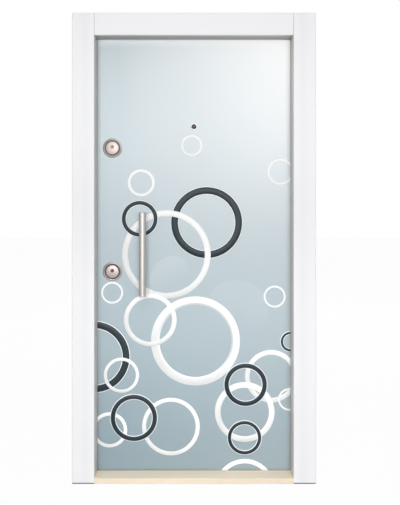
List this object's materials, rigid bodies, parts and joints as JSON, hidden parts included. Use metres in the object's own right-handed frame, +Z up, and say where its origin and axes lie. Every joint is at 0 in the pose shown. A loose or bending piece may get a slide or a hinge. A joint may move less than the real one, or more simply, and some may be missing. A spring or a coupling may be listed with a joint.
{
  "type": "steel entrance door",
  "caption": "Steel entrance door in its frame: printed leaf that opens inwards on barrel hinges, pull handle, round lock escutcheons, peephole, flat casings and a wooden threshold.",
  "frame": {"origin": "middle of the threshold's underside, in the plane of the wall's outer face", "axes": "+Z up, -Y towards the outside, +X towards the hinge side as seen from outside"},
  "size_m": [1.1, 0.228, 2.125],
  "materials": {
    "frame_paint": "grey powder coat on pressed sheet",
    "leaf_paint": "grey powder coat",
    "white_laminate": "white satin laminate on board",
    "threshold_wood": "clear-lacquered beech",
    "foot_plastic": "grey plastic",
    "gasket_rubber": "grey rubber",
    "bare_steel": "zinc-plated steel",
    "door_print": "printed satin film on board, pale blue grey with rings",
    "satin_steel": "satin stainless steel",
    "satin_nickel": "satin nickel with a warm tone",
    "lens_glass": "dark lens"
  },
  "bodies": {
    "frame": {"lock_jamb": "frame_paint", "hinge_jamb": "frame_paint", "frame_head": "frame_paint", "lock_anchors": "frame_paint", "hinge_anchors": "frame_paint", "lock_casing": "white_laminate", "hinge_casing": "white_laminate", "head_casing": "white_laminate", "inner_lock_casing": "white_laminate", "inner_hinge_casing": "white_laminate", "inner_head_casing": "white_laminate", "threshold": "threshold_wood", "casing_feet": "foot_plastic", "lock_gasket": "gasket_rubber", "hinge_gasket": "gasket_rubber", "head_gasket": "gasket_rubber", "threshold_gasket": "gasket_rubber", "strike_plate": "bare_steel", "frame_hinge_low": "bare_steel", "frame_hinge_mid": "bare_steel", "frame_hinge_top": "bare_steel"},
    "leaf": {"leaf_body": "leaf_paint", "inner_panel": "white_laminate", "leaf_hinge_low": "bare_steel", "leaf_hinge_mid": "bare_steel", "leaf_hinge_top": "bare_steel", "lock_faceplate": "bare_steel", "latch_bolt": "bare_steel", "lower_bolts": "bare_steel", "upper_bolts": "bare_steel", "outer_panel": "door_print", "pull_tube": "satin_steel", "pull_posts": "satin_steel", "peephole_cover": "satin_steel", "lever_plate": "satin_steel", "lever_neck": "satin_steel", "lever_bar": "satin_steel", "lower_turn": "satin_steel", "inner_rose": "satin_steel", "upper_turn": "satin_steel", "upper_rose": "satin_nickel", "upper_cap": "satin_nickel", "lower_rose": "satin_nickel", "lower_cap": "satin_nickel", "upper_cylinder": "satin_nickel", "lower_cylinder": "satin_nickel", "peephole_barrel": "satin_nickel", "peephole_lens": "lens_glass"}
  },
  "joints": [
    {"name": "door_swing", "type": "hinge", "parent": "frame", "child": "leaf", "pos_m": [0.468, 0.175, 1], "axis": [0, 0, -1], "range_deg": [0, 110]}
  ]
}
